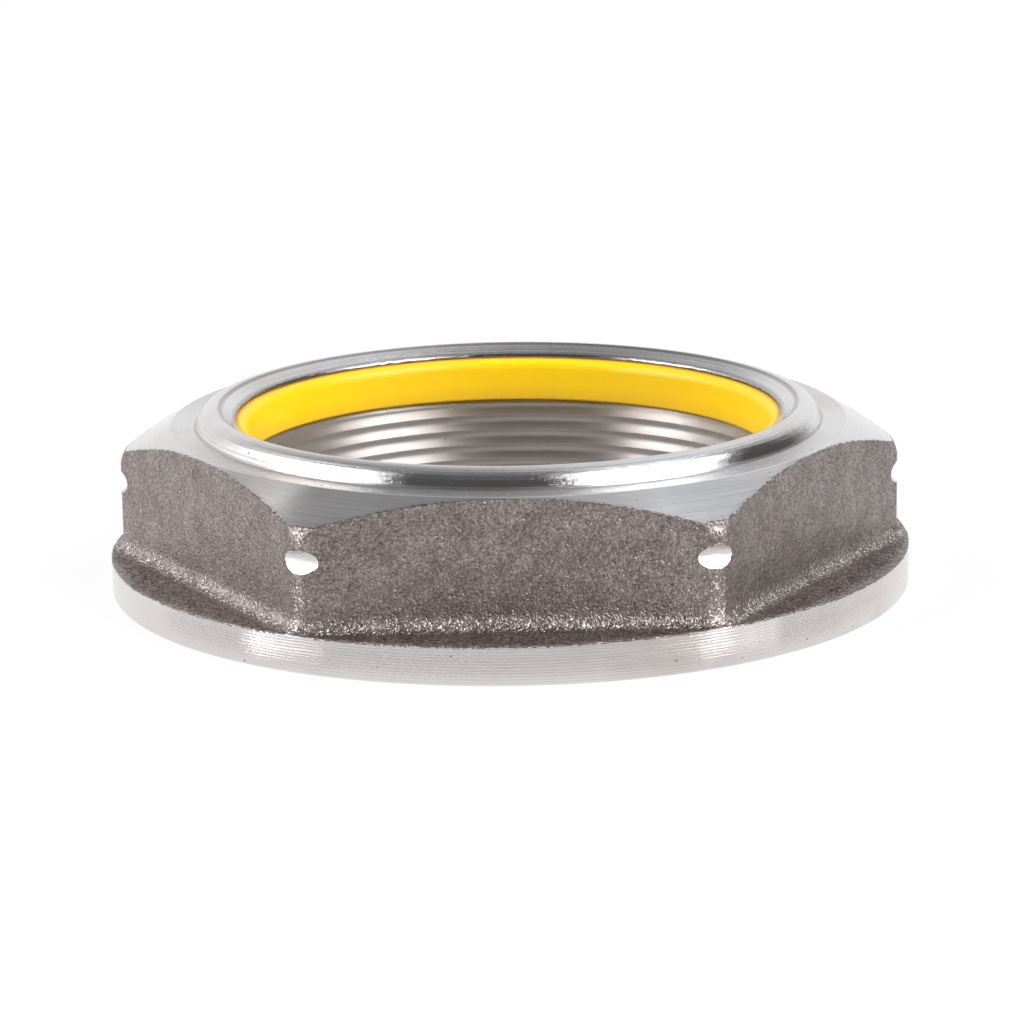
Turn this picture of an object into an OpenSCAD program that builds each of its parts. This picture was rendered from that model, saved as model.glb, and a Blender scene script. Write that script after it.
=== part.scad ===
// Flanged hub nut with a locking ring held under a rolled lip.
// Millimetres, +Z up. The origin is the centre of the flange's seat face, and a flat faces -Y.

/* [Flange] */
// Diameter of the turned flange rim
flange_d = 100; // [98.5:0.5:130]
// Height of the flange rim
flange_t = 4.75; // [2:0.25:8]
// Edge break round the seat face
flange_edge = 0.4; // [0.1:0.1:1.5]
// Fillet between the flange and the hexagon
base_fillet_r = 2; // [0.5:0.25:3.5]

/* [Hexagon] */
// Wrench size across the flats
across_flats = 85; // [80:0.5:86]
// Height from the seat face to the ledge on the hexagon
hex_h = 20.4; // [19.5:0.1:28]
// Rounding of the six upright corners
corner_r = 2.5; // [1:0.25:4]
// Slope of the turned chamfer on top
chamfer_angle = 30; // [20:1:35]
// Distance from the middle of a flat in to the start of the chamfer
chamfer_inset = 0.3; // [0.1:0.1:1.5]
// Forged easing of the corners under the chamfer, measured along the radius
corner_ease = 0.6; // [0.2:0.1:1]
// Slope of the corner easing, measured from upright
ease_angle = 20; // [15:1:40]

/* [Corner groove] */
// Height of the left-hand thread mark, a groove across each corner
groove_z = 12.95; // [9:0.05:13.5]
// Depth of the groove at a corner
groove_depth = 0.9; // [0.3:0.1:1.4]
// Radius of the round tool that cuts the groove
groove_tool_r = 1.6; // [1.2:0.1:2.5]

/* [Collar and lip] */
// Wall of the collar outside the ring's seat
collar_wall = 3.1; // [2.4:0.1:4]
// Height of the collar above the ledge
collar_h = 2.3; // [2.1:0.1:4]
// Outside rounding of the rolled collar
collar_round_r = 2.7; // [2.3:0.1:3]
// Fillet between the ledge and the collar
ledge_fillet_r = 0.5; // [0.1:0.1:0.8]
// Reach of the lip over the locking ring
lip_reach = 2; // [0.5:0.1:2.5]
// Width of the bevel from the lip's inner edge out to the ridge on top
lip_bevel = 2.05; // [0.5:0.05:2.6]
// Drop from the ridge to the lip's inner edge
lip_drop = 1.3; // [0.6:0.1:1.8]
// Thickness of the lip at its inner edge
lip_edge_t = 0.25; // [0.1:0.05:0.6]
// Slope of the lip's underside
lip_under_angle = 15; // [0:1:25]

/* [Thread] */
// Nominal diameter of the left-hand thread, drawn as a plain bore
thread_d = 68; // [58:0.5:70]
// Pitch of the thread
thread_pitch = 2; // [1:0.25:4]
// Entry chamfer at the seat face
entry_chamfer = 1.4; // [0.5:0.1:3]
// Chamfer at the thread's upper end
end_chamfer = 1.2; // [0.4:0.1:2]

/* [Locking ring] */
// Width of the ring, from its bore to its outside
ring_w = 3.3; // [2.5:0.1:4.5]
// Height of the seat's upright wall
ring_h = 5; // [3:0.1:8]
// Clearance between the ring and the steel round it
ring_clearance = 0.05; // [0.02:0.01:0.2]
// Reach of the ring past the thread's minor diameter, on one side
ring_grip = 0.3; // [0.2:0.1:1.5]
// Drop of the bevel on the ring's upper inner edge
ring_bevel = 0.6; // [0.3:0.1:2.5]

/* [Hidden] */
$fn = 144;
sides = 6;
// Flat steps that a corner's arc and the foot's fillet are drawn with
corner_steps = 6;
fillet_steps = 6;
// Length by which a cut runs past the face it opens
past = 1;
// Depth of an internal thread of standard form for a pitch of one
thread_form = 0.54127;
steel = [0.6, 0.58, 0.57];
yellow = [0.96, 0.78, 0.14];

nut_h = hex_h + collar_h;
flange_r = flange_d / 2;
apothem = across_flats / 2;
corner_at = (apothem - corner_r) / cos(30);
corner_reach = corner_at + corner_r;

chamfer_r = apothem - chamfer_inset;
ease_r = corner_reach - corner_ease;
ease_z = hex_h - (ease_r - chamfer_r) * tan(chamfer_angle);
groove_at = corner_reach - groove_depth + groove_tool_r;

minor_r = thread_d / 2 - thread_form * thread_pitch;
ring_bore_r = minor_r - ring_grip;
ring_r = ring_bore_r + ring_w;
seat_r = ring_r + ring_clearance;
collar_r = seat_r + collar_wall;
lip_r = seat_r - lip_reach;
ridge_r = lip_r + lip_bevel;

// Centre of the collar's rounding, centre of the fillet under it, and the height at which the two meet
round_at = collar_r - collar_round_r;
round_z = nut_h - collar_round_r;
fillet_z = hex_h + ledge_fillet_r;
fillet_at = round_at + sqrt(pow(collar_round_r + ledge_fillet_r, 2) - pow(fillet_z - round_z, 2));
meet_z = round_z + (fillet_z - round_z) * collar_round_r / (collar_round_r + ledge_fillet_r);

lip_z = nut_h - lip_drop;
under_z = lip_z - lip_edge_t;
seat_top_z = under_z - (seat_r - lip_r) * tan(lip_under_angle);
seat_z = seat_top_z - ring_h;
ring_top_z = under_z - ring_clearance;

// Outline of the hexagon with round corners, grown outwards
function hex_outline(grow) = [
    for (i = [0:sides - 1], k = [0:corner_steps])
        let (turn = 60 * i - 30 + 60 * k / corner_steps)
        corner_at * [cos(60 * i), sin(60 * i)] + (corner_r + grow) * [cos(turn), sin(turn)]
];

// Solid through a row of levels, each a height and how far the hexagon is grown there
module hex_loft(levels) {
    count = sides * (corner_steps + 1);
    top = (len(levels) - 1) * count;
    polyhedron(
        points = [for (level = levels, p = hex_outline(level[1])) [p[0], p[1], level[0]]],
        faces = [
            [for (j = [0:count - 1]) j],
            [for (j = [count - 1:-1:0]) top + j],
            for (k = [0:count:top - 1], j = [0:count - 1])
                [k + j, k + j + count, k + (j + 1) % count + count, k + (j + 1) % count]
        ]
    );
}

// Turned disc with a broken edge round the seat face
module flange() {
    rotate_extrude()
        polygon([
            [0, 0],
            [flange_r - flange_edge, 0],
            [flange_r, flange_edge],
            [flange_r, flange_t],
            [0, flange_t]
        ]);
}

// Turned limit of the hexagon: corner easing, chamfer and ledge
module hex_limit() {
    limit_r = corner_reach + base_fillet_r + past;
    rotate_extrude()
        polygon([
            [0, 0],
            [limit_r, 0],
            [limit_r, ease_z - (limit_r - ease_r) / tan(ease_angle)],
            [ease_r, ease_z],
            [chamfer_r, hex_h],
            [0, hex_h]
        ]);
}

// Round groove turned across the corners
module corner_groove() {
    rotate_extrude()
        translate([groove_at, groove_z]) circle(groove_tool_r);
}

// Wrench hexagon, with a fillet at its foot that the flange rim cuts off at the corners
module hexagon() {
    difference() {
        intersection() {
            hex_loft([
                [flange_edge, base_fillet_r],
                for (k = [0:fillet_steps])
                    let (turn = 90 * k / fillet_steps)
                    [flange_t + base_fillet_r * (1 - cos(turn)), base_fillet_r * (1 - sin(turn))],
                [hex_h + past, 0]
            ]);
            cylinder(r = flange_r, h = hex_h);
            hex_limit();
        }
        corner_groove();
    }
}

// Collar that is rolled over the locking ring, with a fillet on the ledge
module collar() {
    rotate_extrude() {
        square([round_at, nut_h]);
        translate([round_at, round_z]) circle(collar_round_r);
        difference() {
            square([fillet_at, meet_z]);
            translate([fillet_at, fillet_z]) circle(ledge_fillet_r);
        }
    }
}

// Everything removed from the middle: thread bore, ring seat and the bevel inside the lip
module bore_cut() {
    bevel_run = (ridge_r - lip_r) / lip_drop;
    rotate_extrude()
        polygon([
            [0, -past],
            [minor_r + entry_chamfer + past, -past],
            [minor_r, entry_chamfer],
            [minor_r, seat_z - end_chamfer],
            [minor_r + end_chamfer, seat_z],
            [seat_r, seat_z],
            [seat_r, seat_top_z],
            [lip_r, under_z],
            [lip_r, lip_z],
            [ridge_r + past * bevel_run, nut_h + past],
            [0, nut_h + past]
        ]);
}

// Forged and turned steel body
module nut_body() {
    color(steel)
        difference() {
            union() {
                flange();
                hexagon();
                collar();
            }
            bore_cut();
        }
}

// Polymer ring that grips the spindle's thread
module locking_ring() {
    color(yellow)
        rotate_extrude()
            polygon([
                [ring_bore_r, seat_z],
                [ring_r, seat_z],
                [ring_r, ring_top_z - (ring_r - lip_r) * tan(lip_under_angle)],
                [lip_r, ring_top_z],
                [ring_bore_r, ring_top_z - ring_bevel]
            ]);
}

nut_body();
locking_ring();
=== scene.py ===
"""Looks of the flanged hub nut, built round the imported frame. Metres, +Z up, a flat faces -Y."""

import math

import bpy
import numpy as np
from mathutils import Matrix, Quaternion, Vector


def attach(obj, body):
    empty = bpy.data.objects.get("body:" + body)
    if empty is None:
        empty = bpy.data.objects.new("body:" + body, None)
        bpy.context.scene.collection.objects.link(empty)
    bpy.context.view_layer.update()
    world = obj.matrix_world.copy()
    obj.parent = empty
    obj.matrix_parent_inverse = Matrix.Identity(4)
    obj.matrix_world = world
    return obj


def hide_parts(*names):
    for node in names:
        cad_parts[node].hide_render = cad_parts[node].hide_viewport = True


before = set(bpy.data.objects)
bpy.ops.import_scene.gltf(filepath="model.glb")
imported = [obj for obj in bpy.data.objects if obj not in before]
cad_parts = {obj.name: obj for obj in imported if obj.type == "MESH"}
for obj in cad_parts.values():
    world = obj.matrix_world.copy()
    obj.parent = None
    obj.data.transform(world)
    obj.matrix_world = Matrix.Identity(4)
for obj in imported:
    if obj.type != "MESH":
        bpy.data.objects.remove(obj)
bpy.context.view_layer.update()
scene = bpy.context.scene

# Sizes of the nut in millimetres, as in the solids

MM = 0.001
MERGE = 1e-8
FLANGE_R, FLANGE_T, FLANGE_EDGE, FOOT_R = 50.0, 4.75, 0.4, 2.0
APOTHEM, HEX_H, CORNER_R = 42.5, 20.4, 2.5
CHAMFER_TAN, CHAMFER_R = math.tan(math.radians(30)), APOTHEM - 0.3
CORNER_AT = (APOTHEM - CORNER_R) / math.cos(math.radians(30))
CORNER_REACH = CORNER_AT + CORNER_R
EASE_R, EASE_TAN = CORNER_REACH - 0.6, math.tan(math.radians(20))
EASE_Z = HEX_H - (EASE_R - CHAMFER_R) * CHAMFER_TAN
GROOVE_Z, GROOVE_R, GROOVE_TOOL = 12.95, CORNER_REACH - 0.9, 1.6
PITCH = 2.0
MINOR_R = 34 - 0.54127 * PITCH
ENTRY, END = 1.4, 1.2
RING_R, RING_BORE, RING_BEVEL, CLEAR = MINOR_R + 3.0, MINOR_R - 0.3, 0.6, 0.05
SEAT_R = RING_R + CLEAR
COLLAR_R, COLLAR_ROUND, LEDGE_FILLET = SEAT_R + 3.1, 2.7, 0.5
LIP_R = SEAT_R - 2.0
RIDGE_R = LIP_R + 2.05
NUT_H = HEX_H + 2.3
LIP_Z = NUT_H - 1.3
UNDER_Z = LIP_Z - 0.25
UNDER_TAN = math.tan(math.radians(15))
SEAT_TOP = UNDER_Z - 2.0 * UNDER_TAN
SEAT_Z = SEAT_TOP - 5.0

# Forms that only the looks have: the thread, broken edges and the forging's unevenness

THREAD_DEPTH, THREAD_STEPS, THREAD_TURNS, THREAD_START = 0.7, 10, 11, 2.5
RIM_BREAK, CHAMFER_BREAK, RING_EDGE = 0.1, 0.08, 0.35
FLANGE_TILT, FLANGE_WAVE, WALL_WAVE, LIP_WAVE = 0.32, 0.03, 0.018, 0.04

# Point values: edge is 1 where skin borders on a turned face; band above 0 is wear, a dull mark on the ridge,
# painted glints in the foot's fillet, and painted shade in the collar's fillet, at the lip's inner edge,
# round the ring and in the thread's roots; band below 0 is painted shade on the flange's top

RAG_REACH, ROOT_SHADE = 0.7, 0.2
FLANGE_SHADE = -1.0
# Band up the foot's fillet: painted shade at its toe, then painted glints
FOOT_SHADE_AND_GLINT = -0.6, 0.5, 0.85, 0.75, 0.4, 0.15, 0.05, 0.0, 0.0

# Places of the nut's materials in its list

SKIN, TURNED, FACED, TOP, ROLLED, THREAD = range(6)


# Small helpers

def smooth_noise(theta, waves, seed):
    """Periodic noise round the axis, about -1 to 1, with up to that many waves in a turn."""
    r = np.random.RandomState(seed)
    n = np.arange(1, waves + 1)
    amp = r.normal(size=waves) / np.sqrt(waves)
    phase = r.uniform(0, 2 * np.pi, waves)
    return (amp[:, None] * np.sin(n[:, None] * theta[None, :] + phase[:, None])).sum(0)


class Profile:
    """Rows round the axis, each with a radius, a height, whether it is sharp, and its edge and band values.

    Radii, heights and values are numbers or arrays with one entry per column. A row also gives the material
    of the faces between it and the next one.
    """

    def __init__(self, theta):
        self.theta, self.rows, self.mats = theta, [], []

    def add(self, r, z, mat=0, sharp=False, edge=0, band=0):
        one = np.ones_like(self.theta)
        self.rows.append((r * one, z * one, sharp, edge * one, band * one))
        self.mats.append(mat)


def swept(profile, closed):
    """Points, quads, materials, sharp pairs and point values of a profile swept round the axis."""
    rows, theta = profile.rows, profile.theta
    n, count = len(theta), len(rows)
    points = np.stack([np.stack([r * np.cos(theta), r * np.sin(theta), z], axis=1) for r, z, *_ in rows])
    j = np.arange(n)
    after = (j + 1) % n
    quads, mats, sharp = [], [], []
    for i in range(count if closed else count - 1):
        a, b = i * n, (i + 1) % count * n
        quads.append(np.stack([a + j, a + after, b + after, b + j], axis=1))
        mats.append(np.full(n, profile.mats[i]))
    for i, row in enumerate(rows):
        if row[2]:
            sharp.append(np.stack([i * n + j, i * n + after], axis=1))
    values = {name: np.concatenate([row[at] for row in rows]) for at, name in ((3, "edge"), (4, "band"))}
    return points.reshape(-1, 3), np.concatenate(quads), np.concatenate(mats), np.concatenate(sharp), values


def merged_object(name, points, quads, mats, sharp_pairs, values):
    """Object from quads in which corners that share a place become one, and flat-out faces go."""
    points = points * MM
    _, first, back = np.unique(np.round(points / MERGE), axis=0, return_index=True, return_inverse=True)
    back = back.reshape(-1)
    faces, face_mats = [], []
    for q, m in zip(back[quads].tolist(), mats.tolist()):
        f = [v for i, v in enumerate(q) if v != q[i - 1]]
        if len(set(f)) == len(f) and len(f) >= 3:
            faces.append(f)
            face_mats.append(m)
    mesh = bpy.data.meshes.new(name)
    mesh.from_pydata(points[first].tolist(), [], faces)
    mesh.polygons.foreach_set("material_index", face_mats)
    mesh.polygons.foreach_set("use_smooth", [True] * len(faces))
    mark_sharp(mesh, back[sharp_pairs])
    for key, value in values.items():
        mesh.attributes.new(key, "FLOAT", "POINT").data.foreach_set("value", value[first])
    mesh.update()
    obj = bpy.data.objects.new(name, mesh)
    scene.collection.objects.link(obj)
    return obj


def mark_sharp(mesh, pairs):
    wanted = set(map(tuple, np.sort(pairs[pairs[:, 0] != pairs[:, 1]], axis=1).tolist()))
    ends = np.zeros(len(mesh.edges) * 2, np.int32)
    mesh.edges.foreach_get("vertices", ends)
    ends = np.sort(ends.reshape(-1, 2), axis=1).tolist()
    mesh.attributes.new("sharp_edge", "BOOLEAN", "EDGE")
    mesh.attributes["sharp_edge"].data.foreach_set("value", [tuple(e) in wanted for e in ends])


# Nut body

def column_angles():
    """Columns round the axis: one per degree, and closer ones at the corners."""
    near = [0.2, 0.4, 0.6, 0.8, 1.0, 1.2, 1.35, 1.48, 1.7, 2.0, 2.3, 2.6, 2.79, 3.0, 3.5, 4.2]
    half = near + list(np.arange(5, 30, 1.0))
    sector = sorted([-a for a in half] + [-30.0, 0.0] + half)
    return np.radians(np.concatenate([np.array(sector) + 60 * i for i in range(6)]))


def outline(delta, grow):
    """Radius of the hexagon with round corners, grown outwards, at an angle from the nearest corner."""
    rho = CORNER_R + grow
    d = np.abs(delta)
    tangent = np.arctan2(rho * 0.5, CORNER_AT + rho * math.cos(math.radians(30)))
    flat = (APOTHEM + grow) / np.cos(math.radians(30) - d)
    arc = CORNER_AT * np.cos(d) + np.sqrt(np.maximum(rho**2 - (CORNER_AT * np.sin(d)) ** 2, 0))
    return np.where(d < tangent, arc, flat)


def flange_top(theta, r):
    """Height of the flange's top, which is forged a little tilted and uneven."""
    return FLANGE_T + FLANGE_TILT * r * np.cos(theta) / FLANGE_R + FLANGE_WAVE * smooth_noise(theta, 30, 4)


def chamfer_height(r):
    return HEX_H - (r - CHAMFER_R) * CHAMFER_TAN


def run_out(delta):
    """How far the foot's fillet lifts the rim's upper edge where it runs out at the corners."""
    grows = np.linspace(FOOT_R, 0, 60)
    reach = np.array([outline(delta, g) for g in grows])
    rise = np.array([FOOT_R - math.sqrt(max(FOOT_R**2 - (FOOT_R - g) ** 2, 0)) for g in grows])
    lift = np.zeros_like(delta)
    for j in np.flatnonzero(reach[0] > FLANGE_R):
        lift[j] = np.interp(-FLANGE_R, -reach[:, j], rise)
    return lift


def add_seat_and_rim(p):
    """Seat face, its broken edge and the turned rim."""
    edge_r = FLANGE_R - FLANGE_EDGE
    p.add(MINOR_R + ENTRY, 0, FACED, True)
    for r in (38.0, 42.0, 46.0):
        p.add(r, 0, FACED)
    p.add(edge_r, 0, TURNED)
    for a in (30, 60):
        t = math.radians(a)
        p.add(edge_r + FLANGE_EDGE * math.sin(t), FLANGE_EDGE * (1 - math.cos(t)), TURNED)
    p.add(FLANGE_R, FLANGE_EDGE, TURNED)
    p.add(FLANGE_R, 2.5, TURNED)


def add_flange_and_foot(p):
    """Skin from the rim's upper edge over the flange's top and up the foot's fillet."""
    lift = run_out(p.delta)
    rim_z = flange_top(p.theta, FLANGE_R) + lift
    p.add(FLANGE_R, rim_z - 0.5, TURNED)
    p.add(FLANGE_R, rim_z - RIM_BREAK, SKIN, True, 1)
    p.add(FLANGE_R - RIM_BREAK, rim_z, SKIN)
    inside = FLANGE_R - RIM_BREAK - 0.02
    foot = np.minimum(outline(p.delta, FOOT_R), inside)
    # Painted shade on the flange's top, through band
    for f in (0.33, 0.66):
        r = (FLANGE_R - RIM_BREAK) * (1 - f) + foot * f
        p.add(r, flange_top(p.theta, r) + lift, SKIN, band=FLANGE_SHADE)
    # Painted glints up the foot's fillet, with wear added at the corners
    at_corner = p.delta**2 < 0.002
    for k, glint in enumerate(FOOT_SHADE_AND_GLINT):
        t = math.radians(90 * k / (len(FOOT_SHADE_AND_GLINT) - 1))
        r = outline(p.delta, FOOT_R * (1 - math.sin(t)))
        z = np.where(r > inside, lift, FOOT_R * (1 - math.cos(t)))
        r = np.minimum(r, inside)
        band = np.where(at_corner, np.maximum(glint, p.worn), glint)
        p.add(r, flange_top(p.theta, r) + np.maximum(z, lift), SKIN, band=band)


def add_wall(p):
    """Wall of the hexagon with the groove across its corners. Gives the height of the groove's upper edge."""
    low = flange_top(p.theta, p.wall) + FOOT_R
    axis_r = GROOVE_R + GROOVE_TOOL
    off = axis_r - np.maximum(outline(p.delta, 0), GROOVE_R)
    half = np.sqrt(np.maximum(GROOVE_TOOL**2 - off**2, 0))
    for f in (0.33, 0.66):
        p.add(p.wall, low + f * (GROOVE_Z - half - low), SKIN, band=p.worn)
    p.add(p.wall, GROOVE_Z - half, TURNED, True, 1)
    for f in (-0.75, -0.4, 0, 0.4, 0.75):
        r = np.where(half > 0, axis_r - np.sqrt(GROOVE_TOOL**2 - (f * half) ** 2), p.wall)
        p.add(r, GROOVE_Z + f * half, TURNED)
    p.add(p.wall, GROOVE_Z + half, SKIN, True, 1)
    return GROOVE_Z + half


def add_easing_and_chamfer(p, low):
    """Skin above the groove, the worn easing of the corners and the turned chamfer."""
    top = np.minimum(p.wall, EASE_R)
    top_z = chamfer_height(top)
    eased = np.maximum(p.wall - EASE_R, 0)
    ease_low = np.where(eased > 0, EASE_Z - eased / EASE_TAN, top_z)
    for f in (0.3, 0.6):
        p.add(p.wall, low + f * (ease_low - low), SKIN, band=p.worn)
    p.add(p.wall, ease_low - 0.35, SKIN, band=p.worn)
    p.add(p.wall, ease_low, SKIN, edge=1, band=np.maximum(p.worn, 0.25))
    bulge = 0.08 * np.minimum(eased / 0.3, 1)
    mid = np.where(eased > 0, (p.wall + top) / 2 + bulge, p.wall)
    mid_z = np.where(eased > 0, (ease_low + top_z) / 2, top_z)
    p.add(np.maximum(mid, top), mid_z, SKIN, edge=1, band=4 * p.worn**2)
    p.add(top, top_z, TOP, True, 1)
    ragged = np.maximum(top - RAG_REACH, CHAMFER_R + 0.1)
    p.add(ragged, chamfer_height(ragged), TOP)
    for f in (0.35, 0.65):
        r = np.minimum(top + f * (CHAMFER_R - top), ragged - 0.01)
        p.add(r, chamfer_height(r), TOP)
    p.add(CHAMFER_R + CHAMFER_BREAK, chamfer_height(CHAMFER_R + CHAMFER_BREAK), TOP, True)
    p.add(CHAMFER_R - CHAMFER_BREAK, HEX_H, FACED, True)


def add_collar(p):
    """Ledge, its fillet and the rolled collar."""
    both = COLLAR_ROUND + LEDGE_FILLET
    round_at, round_z, fillet_z = COLLAR_R - COLLAR_ROUND, NUT_H - COLLAR_ROUND, HEX_H + LEDGE_FILLET
    meet = math.asin((fillet_z - round_z) / both)
    fillet_at = round_at + both * math.cos(meet)
    p.add(41.0, HEX_H, FACED)
    for k in range(6):
        t = (math.pi / 2 - meet) * k / 5
        r, z = fillet_at - LEDGE_FILLET * math.sin(t), fillet_z - LEDGE_FILLET * math.cos(t)
        # Painted shade in the fillet, the crease at the collar's foot
        p.add(r, z, FACED if k < 5 else ROLLED, band=0.65 if 1 < k < 5 else 0)
    for k in range(1, 13):
        t = meet + (math.pi / 2 - meet) * k / 12
        p.add(round_at + COLLAR_ROUND * math.cos(t), round_z + COLLAR_ROUND * math.sin(t), ROLLED)


def add_lip(p):
    """Ridge on top with a dull mark, the lip's bevel, its ragged edge with painted shade where it meets the
    ring, and the ring's seat.
    """
    bevel = (NUT_H - LIP_Z) / (RIDGE_R - LIP_R)
    for out, down, band in ((0.34, 0, 0), (0.14, 0.02, 0.8), (0, 0.08, 1), (-0.2, 0.08, 0.8), (-0.5, 0, 0)):
        p.add(RIDGE_R + out, NUT_H - down + min(out, 0) * bevel, ROLLED, band=band)
    for f in (0.4, 0.7):
        p.add(RIDGE_R + f * (LIP_R - RIDGE_R), NUT_H - f * (NUT_H - LIP_Z), ROLLED)
    rag = LIP_WAVE * smooth_noise(p.theta, 160, 8)
    # Painted shade along the lip's inner edge, where it meets the ring
    p.add(LIP_R + 0.4, LIP_Z + 0.4 * bevel, ROLLED, band=0.5)
    p.add(LIP_R + 0.1, LIP_Z + 0.06, ROLLED, band=0.9)
    p.add(LIP_R + rag, LIP_Z - 0.08 + 0.5 * rag, ROLLED, band=1)
    p.add(LIP_R + 0.05 + rag, UNDER_Z, ROLLED, True, band=1)
    p.add(SEAT_R, SEAT_TOP, ROLLED, True)
    p.add(SEAT_R, SEAT_Z, ROLLED, True)
    p.add(MINOR_R + END, SEAT_Z, ROLLED, True)


def nut_profile(theta):
    """The nut from the seat face over the rim, the hexagon and the collar to the upper end of the thread."""
    p = Profile(theta)
    p.delta = (theta + math.radians(30)) % math.radians(60) - math.radians(30)
    p.worn = 0.55 * np.exp(-((p.delta / math.radians(1.3)) ** 2))
    p.wall = outline(p.delta, 0) + WALL_WAVE * smooth_noise(theta, 40, 3)
    add_seat_and_rim(p)
    add_flange_and_foot(p)
    groove_top = add_wall(p)
    add_easing_and_chamfer(p, groove_top)
    add_collar(p)
    add_lip(p)
    return p


def thread(theta, start):
    """Points, quads, sharp pairs and painted root shade of the left-hand thread, with its points counted from
    start.

    Its rows sink by one pitch in a turn and meet the chamfers at both ends. Round roots meet in sharp crests.
    """
    n = len(theta)
    shares = np.arange(THREAD_STEPS) / THREAD_STEPS
    root = np.sin(np.pi * shares)
    base = np.concatenate([shares + k for k in range(THREAD_TURNS)])
    count = len(base)
    z = SEAT_Z + THREAD_START - (base[:, None] + theta[None, :] / (2 * np.pi)) * PITCH
    r = np.repeat(MINOR_R + THREAD_DEPTH * np.tile(root, THREAD_TURNS)[:, None], n, axis=1)
    r = np.maximum(r, MINOR_R + np.maximum(z - (SEAT_Z - END), 0))
    r = np.maximum(r, MINOR_R + np.maximum(ENTRY - z, 0))
    r = np.where(z >= SEAT_Z, MINOR_R + END, r)
    r = np.where(z <= 0, MINOR_R + ENTRY, r)
    points = np.stack([r * np.cos(theta), r * np.sin(theta), np.clip(z, 0, SEAT_Z)], axis=2)
    j = np.arange(n - 1)
    quads, sharp = [], []
    for i in range(count - 1):
        a, b = start + i * n, start + (i + 1) * n
        quads.append(np.stack([a + j, a + j + 1, b + j + 1, b + j], axis=1))
        if i % THREAD_STEPS == 0:
            sharp.append(np.stack([a + j, a + j + 1], axis=1))
        if i + THREAD_STEPS < count:
            # The last column of a row meets the first column one pitch further along
            c, d = start + (i + THREAD_STEPS) * n, start + min(i + 1 + THREAD_STEPS, count - 1) * n
            quads.append(np.array([[a + n - 1, c, d, b + n - 1]]))
    # Painted shade, deepest in the roots, kept in the band values
    oil = np.repeat(np.tile(ROOT_SHADE * root**2, THREAD_TURNS), n)
    return points.reshape(-1, 3), np.concatenate(quads), np.concatenate(sharp), oil


def build_nut():
    theta = column_angles()
    points, quads, mats, sharp, values = swept(nut_profile(theta), False)
    turns, turn_quads, crests, oil = thread(theta, len(points))
    return merged_object(
        "nut_body_look",
        np.concatenate([points, turns]),
        np.concatenate([quads, turn_quads]),
        np.concatenate([mats, np.full(len(turn_quads), THREAD)]),
        np.concatenate([sharp, crests]),
        # The thread's band values are painted shade in its roots
        {"edge": np.append(values["edge"], 0 * oil), "band": np.append(values["band"], oil)},
    )


# Locking ring

def build_ring():
    p = Profile(np.linspace(0, 2 * np.pi, 360, endpoint=False))
    top = UNDER_Z - CLEAR
    p.add(RING_BORE + RING_EDGE, SEAT_Z)
    p.add(RING_R, SEAT_Z, sharp=True)
    p.add(RING_R, top - (RING_R - LIP_R) * UNDER_TAN, sharp=True)
    # Painted shadow along the top edge under the lip, through band
    p.add(LIP_R, top, sharp=True, band=1)
    # Rounded bevel down to the bore
    start, corner = Vector((LIP_R, top)), Vector((RING_BORE, top - RING_BEVEL))
    p.add(*start.lerp(corner, 0.3), band=0.2)
    before = corner + (start - corner).normalized() * 0.8
    after = corner + Vector((0, -0.9))
    for k in range(8):
        f = k / 7
        p.add(*(before * (1 - f) ** 2 + corner * 2 * f * (1 - f) + after * f**2))
    p.add(RING_BORE, SEAT_Z + 2.2)
    # Rounded lower edge, with painted shade that deepens towards the seat
    for k in range(4):
        t = math.radians(90 * k / 3)
        r, z = RING_BORE + RING_EDGE * (1 - math.cos(t)), SEAT_Z + RING_EDGE * (1 - math.sin(t))
        p.add(r, z, band=0.2 + 0.25 * k)
    return merged_object("locking_ring_look", *swept(p, True))


# Materials

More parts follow.
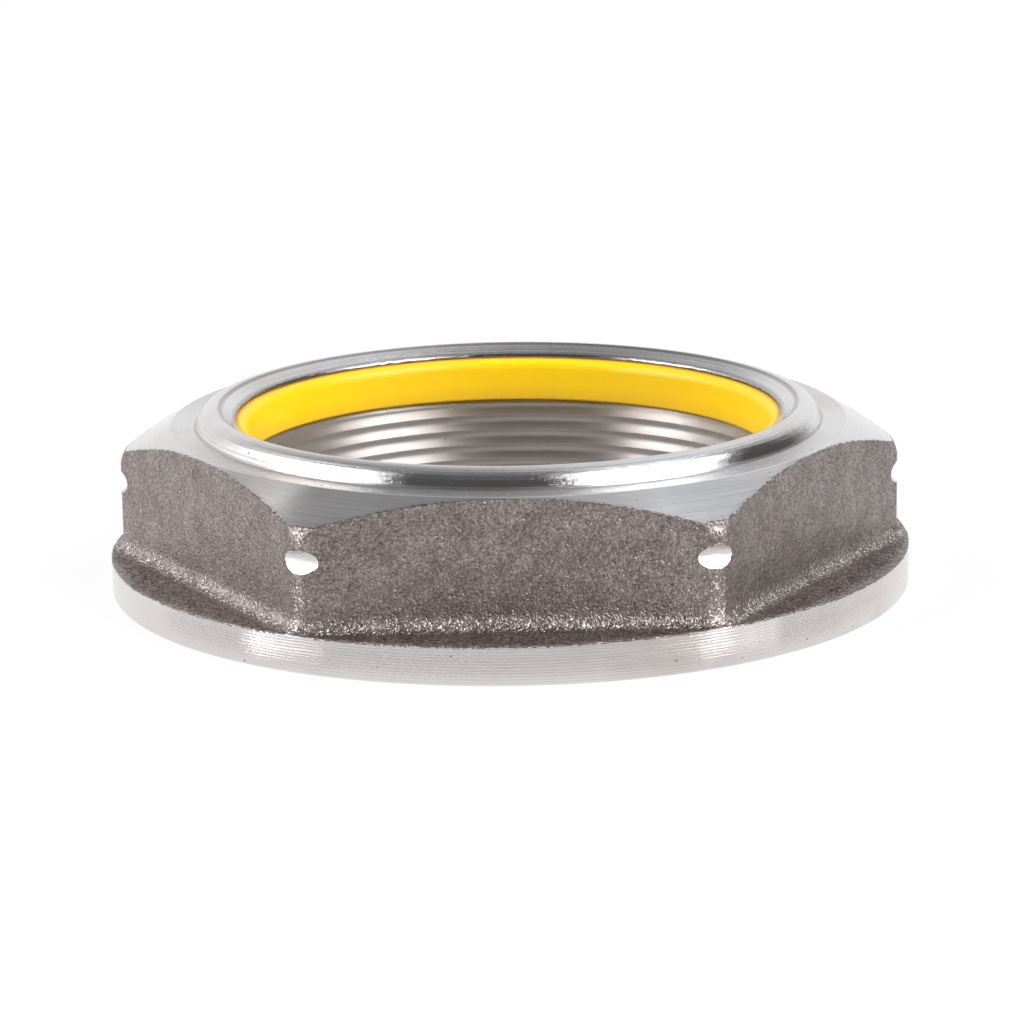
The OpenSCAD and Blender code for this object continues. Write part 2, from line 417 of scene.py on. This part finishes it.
class Tree:
    """A short way to write the nodes of a material or a world."""

    def __init__(self, owner):
        owner.use_nodes = True
        self.owner = owner
        self.nodes, self.links = owner.node_tree.nodes, owner.node_tree.links
        self.shader = next(n for n in self.nodes if n.type in ("BSDF_PRINCIPLED", "BACKGROUND"))

    def new(self, kind, inputs=None, **settings):
        node = self.nodes.new(kind)
        for k, v in settings.items():
            setattr(node, k, v)
        for k, v in (inputs or {}).items():
            self.put(node.inputs[k], v)
        return node

    def put(self, socket, value):
        if isinstance(value, bpy.types.NodeSocket):
            self.links.new(value, socket)
        else:
            socket.default_value = value

    def set(self, **inputs):
        for k, v in inputs.items():
            self.put(self.shader.inputs[k.replace("_", " ")], v)

    def math(self, op, a, b=0.0, c=0.0):
        return self.new("ShaderNodeMath", {0: a, 1: b, 2: c}, operation=op).outputs[0]

    def total(self, *pairs):
        """Sum of values, each times a weight."""
        out = 0.0
        for value, weight in pairs:
            out = self.math("MULTIPLY_ADD", value, weight, out)
        return out

    def place(self):
        return self.new("ShaderNodeTexCoord").outputs["Object"]

    def noise(self, vector, scale, detail=2.0, rough=0.5, kind="3D"):
        return self.new(
            "ShaderNodeTexNoise",
            {"Vector": vector, "Scale": scale, "Detail": detail, "Roughness": rough},
            noise_dimensions=kind,
        ).outputs["Fac"]

    def ramp(self, fac, stops):
        node = self.new("ShaderNodeValToRGB", {"Fac": fac})
        bar = node.color_ramp.elements
        while len(bar) < len(stops):
            bar.new(0.5)
        for e, (at, colour) in zip(bar, stops):
            e.position, e.color = at, (*colour, 1)
        return node.outputs["Color"]

    def remap(self, value, lo, hi, to_lo=0.0, to_hi=1.0, smooth=False):
        return self.new(
            "ShaderNodeMapRange",
            {"Value": value, "From Min": lo, "From Max": hi, "To Min": to_lo, "To Max": to_hi},
            interpolation_type="SMOOTHSTEP" if smooth else "LINEAR",
        ).outputs["Result"]

    def mix(self, fac, a, b, kind="RGBA"):
        node = self.new("ShaderNodeMix", data_type=kind)
        sockets = {i.name: i for i in node.inputs if i.enabled}
        for k, v in (("Factor", fac), ("A", a), ("B", b)):
            self.put(sockets[k], v)
        return next(o for o in node.outputs if o.enabled)

    def bump(self, height, distance):
        return self.new("ShaderNodeBump", {"Height": height, "Distance": distance}).outputs["Normal"]

    def vector(self, op, a, b=(0, 0, 0)):
        node = self.new("ShaderNodeVectorMath", {0: a}, operation=op)
        self.put(node.inputs["Scale" if op == "SCALE" else 1], b)
        return node.outputs["Vector"]

    def value(self, name):
        """Value kept on the mesh's points."""
        return self.new("ShaderNodeAttribute", attribute_name=name).outputs["Fac"]

    def split(self, vector):
        return self.new("ShaderNodeSeparateXYZ", {"Vector": vector}).outputs

    def join(self, x, y, z=0.0):
        return self.new("ShaderNodeCombineXYZ", {"X": x, "Y": y, "Z": z}).outputs["Vector"]

    def length(self, x, y):
        return self.math("SQRT", self.math("MULTIPLY_ADD", x, x, self.math("MULTIPLY", y, y)))


def material(name):
    return Tree(bpy.data.materials.new(name))


def rgb(r, g, b):
    """Linear colour of an sRGB one given as 0 to 255."""
    return tuple(((c / 255 + 0.055) / 1.055) ** 2.4 if c > 10 else c / 255 / 12.92 for c in (r, g, b))


BRIGHT = rgb(232, 232, 233), rgb(226, 220, 218)
SATIN = rgb(222, 217, 216), rgb(214, 205, 203)
OILED = rgb(176, 172, 171), rgb(166, 159, 155)
SKIN_TONES = rgb(110, 100, 98), rgb(144, 133, 131), rgb(178, 168, 166)


def skin_material():
    """Blasted forging skin over faint broad patches, with bright grains painted as glints in the foot's
    fillet, bright worn grains at the corners and along the chamfer's border, and painted shade with speckle
    on the flange's top.
    """
    t = material("forged_skin")
    p = t.place()
    grain = t.noise(p, 3700.0, 1.0, 0.5)
    crumb = t.noise(p, 1700.0, 2.0, 0.5)
    patch = t.noise(p, 300.0, 2.0, 0.5)
    band = t.value("band")
    foot = t.math("MAXIMUM", band, 0.0)
    tone = t.total((grain, 0.5), (crumb, 0.3), (patch, 0.2))
    dark, mid, light = SKIN_TONES
    colour = t.ramp(tone, [(0.36, dark), (0.5, mid), (0.64, light)])
    # Painted shade with speckle where band is below 0, on the flange's top
    speck = t.remap(t.total((grain, 0.6), (crumb, 0.4)), 0.38, 0.62, 0.3, 1.45)
    scale = t.mix(t.remap(band, 0.0, FLANGE_SHADE), 1.0, speck, "FLOAT")
    colour = t.vector("SCALE", colour, scale)
    # Bright grains where band is above 0: painted glints in the foot's fillet, and wear at the corners and
    # along the chamfer's border
    bright = t.remap(t.total((grain, 0.6), (crumb, 0.4), (foot, 0.12)), 0.6, 0.72)
    glint = t.math("MULTIPLY", bright, t.math("MINIMUM", t.math("MULTIPLY", foot, 3.0), 1.0))
    t.set(
        Base_Color=t.mix(glint, colour, (*rgb(232, 227, 224), 1)),
        Metallic=1.0,
        Roughness=t.total((t.remap(grain, 0.3, 0.7, 0.46, 0.34), 1.0), (foot, -0.05)),
        Normal=t.bump(t.total((grain, 1.0), (crumb, 0.8), (patch, 0.6)), 0.00018),
    )
    return t.owner


def turned_material(name, tones, rough, spread, lines, feed, coarse=0.1, scrub=0.0, metal=1.0):
    """Turned steel. Marks too fine to be seen tilt its normal at random across the lathe's feed.

    lines weighs the streaks round the axis, and feed is the spacing of the tool marks along the radius and
    the axis. coarse weighs a grain that has no direction, scrub weighs fine scratches across the feed, and
    metal is less than 1 under a film of oil.
    """
    t = material(name)
    p = t.place()
    x, y, z = t.split(p)
    radius = t.length(x, y)
    section = t.join(radius, z)
    hair = t.new("ShaderNodeTexWhiteNoise", {"Vector": p}).outputs["Value"]
    streak = t.noise(section, 8000.0, 2.0, 0.6, "2D")
    band = t.noise(section, 900.0, 1.0, 0.5, "2D")
    waves = [(along, 2 * math.pi / step) for along, step in zip((radius, z), feed) if step]
    mark = t.math("SINE", t.total(*waves))
    grain = t.noise(p, 8000.0, 1.0, 0.6)
    tilt = t.total(
        (hair, 2 * spread), (streak, 2 * lines), (band, lines), (mark, 0.5 * lines), (grain, coarse)
    )
    tilt = t.math("SUBTRACT", tilt, spread + 1.5 * lines + 0.5 * coarse)
    normal = t.new("ShaderNodeNewGeometry").outputs["Normal"]
    around = t.new("ShaderNodeTangent", direction_type="RADIAL", axis="Z").outputs[0]
    across = t.vector("CROSS_PRODUCT", normal, around)
    tilted = t.vector("ADD", normal, t.vector("SCALE", across, tilt))
    blur = t.new("ShaderNodeTexWhiteNoise", {"Vector": t.vector("SCALE", p, 1.7)}).outputs["Value"]
    tilt = t.total((grain, coarse), (blur, scrub), (1.0, -0.5 * (coarse + scrub)))
    tilted = t.vector("ADD", tilted, t.vector("SCALE", around, tilt))

    # Stains, pits, and grains of skin that reach over the border
    stain = t.noise(p, 55.0, 3.0, 0.6)
    pit = t.remap(t.noise(p, 1500.0, 1.0, 0.5), 0.77, 0.8)
    rag = t.remap(t.total((t.value("edge"), 1.0), (t.noise(p, 2000.0, 2.0, 0.6), 1.6)), 1.58, 1.68)
    flaw = t.math("MAXIMUM", pit, rag)
    clean, stained = tones
    colour = t.mix(t.remap(stain, 0.48, 0.66), (*clean, 1), (*stained, 1))
    colour = t.mix(t.remap(streak, 0.3, 0.7, 0.14, 0.0), colour, (*SKIN_TONES[0], 1))
    # Darker where band is set: a dull mark on the ridge that the steel has, and painted shade in the fillet
    # under the collar, along the lip's inner edge and in the thread's roots
    mark_and_shade = t.math("MULTIPLY", t.value("band"), t.remap(grain, 0.3, 0.7, 0.4, 0.9))
    colour = t.mix(mark_and_shade, colour, (*SKIN_TONES[0], 1))
    t.set(
        Base_Color=t.mix(flaw, colour, (*SKIN_TONES[0], 1)),
        Metallic=metal,
        Roughness=t.total((t.remap(stain, 0.3, 0.7, rough - 0.02, rough + 0.02), 1.0), (flaw, 0.3)),
        Normal=t.vector("NORMALIZE", tilted),
    )
    return t.owner


def ring_material():
    t = material("locking_polymer")
    p = t.place()
    fine = t.noise(p, 1800.0, 2.0, 0.5)
    yellow = t.ramp(t.noise(p, 70.0, 2.0, 0.5), [(0.3, rgb(253, 205, 2)), (0.7, rgb(255, 211, 6))])
    # Dark orange painted shade where band is set: a shadow along the top under the lip, and shade on the
    # lower edge
    t.set(
        Base_Color=t.mix(t.math("MULTIPLY", t.value("band"), 0.85), yellow, (*rgb(150, 92, 10), 1)),
        Roughness=t.remap(fine, 0.3, 0.7, 0.34, 0.44),
        Specular_IOR_Level=0.4,
        Subsurface_Weight=0.3,
        Subsurface_Radius=(0.003, 0.0015, 0.0003),
        Normal=t.bump(fine, 0.000008),
    )
    return t.owner


nut = build_nut()
for m in (
    skin_material(),
    turned_material("turned_rim", SATIN, 0.07, 0.34, 0.1, (0, 0.00036)),
    turned_material("faced_ledge", BRIGHT, 0.26, 0.38, 0.08, (0.0004, 0)),
    turned_material("turned_chamfer", BRIGHT, 0.09, 0.2, 0.06, (0.0003, 0)),
    turned_material("rolled_lip", BRIGHT, 0.1, 0.16, 0.14, (0.0004, 0), coarse=0.32, scrub=0.2),
    turned_material("thread_steel", OILED, 0.28, 0.42, 0.02, (0, 0.0003), metal=0.75),
):
    nut.data.materials.append(m)
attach(nut, "root")
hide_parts("nut_body")

ring = build_ring()
ring.data.materials.append(ring_material())
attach(ring, "root")
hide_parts("locking_ring")


# Floor, light and camera

def build_floor():
    mesh = bpy.data.meshes.new("floor")
    a = 6.0
    mesh.from_pydata([(-a, -a, 0), (a, -a, 0), (a, a, 0), (-a, a, 0)], [], [(0, 1, 2, 3)])
    obj = bpy.data.objects.new("floor", mesh)
    scene.collection.objects.link(obj)
    t = material("floor")
    t.set(Base_Color=(0.9, 0.9, 0.9, 1), Roughness=0.9, Specular_IOR_Level=0.0)
    # White where it is seen or mirrored, with a share of the lit floor that keeps the shadow
    path = t.new("ShaderNodeLightPath").outputs
    mirrored = t.math("MAXIMUM", path["Is Glossy Ray"], path["Is Transmission Ray"])
    seen = t.math("MAXIMUM", path["Is Camera Ray"], mirrored)
    white = t.new("ShaderNodeEmission", {"Color": (1, 1, 1, 1), "Strength": 1.0})
    share = t.math("MULTIPLY", seen, 0.9)
    mix = t.new("ShaderNodeMixShader", {0: share, 1: t.shader.outputs[0], 2: white.outputs[0]})
    end = next(n for n in t.nodes if n.type == "OUTPUT_MATERIAL")
    t.links.new(mix.outputs[0], end.inputs["Surface"])
    mesh.materials.append(t.owner)


# The studio round the nut: a pale backdrop behind it and to its left, and a dim room in front
ROOM, BACKDROP, CEILING, ZENITH = 0.09, 0.92, 0.36, 0.2
BACKDROP_TURN = math.radians(14)
LAMP_AT = 2.4


def polar(azimuth, elevation):
    """Place of a lamp: azimuth 0 is at the camera's side, and positive is to its right."""
    a, e = math.radians(azimuth), math.radians(elevation)
    return Vector((math.sin(a) * math.cos(e), -math.cos(a) * math.cos(e), math.sin(e))) * LAMP_AT


def softbox(name, place, wide, tall, radiance, roll=0, tint=(1, 1, 1)):
    """Softbox that spans two angles, seen from the nut, with an even radiance."""
    light = bpy.data.lights.new(name, "AREA")
    light.shape = "RECTANGLE"
    light.size = 2 * LAMP_AT * math.tan(math.radians(wide / 2))
    light.size_y = 2 * LAMP_AT * math.tan(math.radians(tall / 2))
    light.color = tint
    light.energy = radiance * math.pi * light.size * light.size_y
    obj = bpy.data.objects.new(name, light)
    obj.location = place
    obj.rotation_mode = "QUATERNION"
    obj.rotation_quaternion = (-place).to_track_quat("-Z", "Y") @ Quaternion((0, 0, 1), math.radians(roll))
    scene.collection.objects.link(obj)


def build_world():
    scene.world = bpy.data.worlds.new("studio")
    t = Tree(scene.world)
    x, y, z = t.split(t.new("ShaderNodeTexCoord").outputs["Generated"])
    ahead = t.total((x, -math.sin(BACKDROP_TURN)), (y, math.cos(BACKDROP_TURN)))
    toward = t.math("DIVIDE", ahead, t.length(x, y))
    pale = t.remap(z, 0.36, 0.72, BACKDROP, CEILING, True)
    level = t.mix(t.remap(toward, 0.5, 0.67, 0.0, 1.0, True), ROOM, pale, "FLOAT")
    level = t.mix(t.remap(z, 0.88, 1.0, 0.0, 1.0, True), level, ZENITH, "FLOAT")
    t.set(Color=level, Strength=1.0)


def build_camera():
    """Camera fitted to the photograph: its turn round the nut, height angle, roll, distance and lens."""
    turn, elevation, roll = math.radians(0.32), math.radians(13.650), math.radians(0.827)
    spin = Matrix.Rotation(turn, 3, "Z")
    forward = spin @ Vector((0, math.cos(elevation), -math.sin(elevation)))
    up = spin @ Vector((0, math.sin(elevation), math.cos(elevation)))
    right = spin @ Vector((1, 0, 0))
    cam_right = right * math.cos(roll) - up * math.sin(roll)
    cam_up = right * math.sin(roll) + up * math.cos(roll)
    frame_px, focal_px, centre_x, centre_y = 1024, 4026.07, 509.42, 498.45
    aim, distance = Vector((0, 0, 0.010)), 0.50615
    data = bpy.data.cameras.new("camera")
    data.sensor_width = 36.0
    data.lens = focal_px * data.sensor_width / frame_px
    data.shift_x = (frame_px / 2 - centre_x) / frame_px
    data.shift_y = (centre_y - frame_px / 2) / frame_px
    data.clip_start, data.clip_end = 0.01, 50
    obj = bpy.data.objects.new("camera", data)
    axes = Matrix((cam_right, cam_up, -forward)).transposed().to_4x4()
    obj.matrix_world = Matrix.Translation(aim - forward * distance) @ axes
    scene.collection.objects.link(obj)
    scene.camera = obj


build_floor()
build_world()
softbox("left_box", polar(-78, 32), 26, 48, 6.4, 36)
softbox("left_sheet", polar(-105, 34), 34, 40, 1.3)
softbox("right_box", polar(63, 42), 34, 54, 6.5, -34)
softbox("right_sheet", polar(67, 13), 25, 14, 2.1)
softbox("back_sheet", polar(153, 52), 28, 32, 0.58, tint=(0.93, 0.95, 1))
build_camera()
scene.view_settings.view_transform = "Standard"
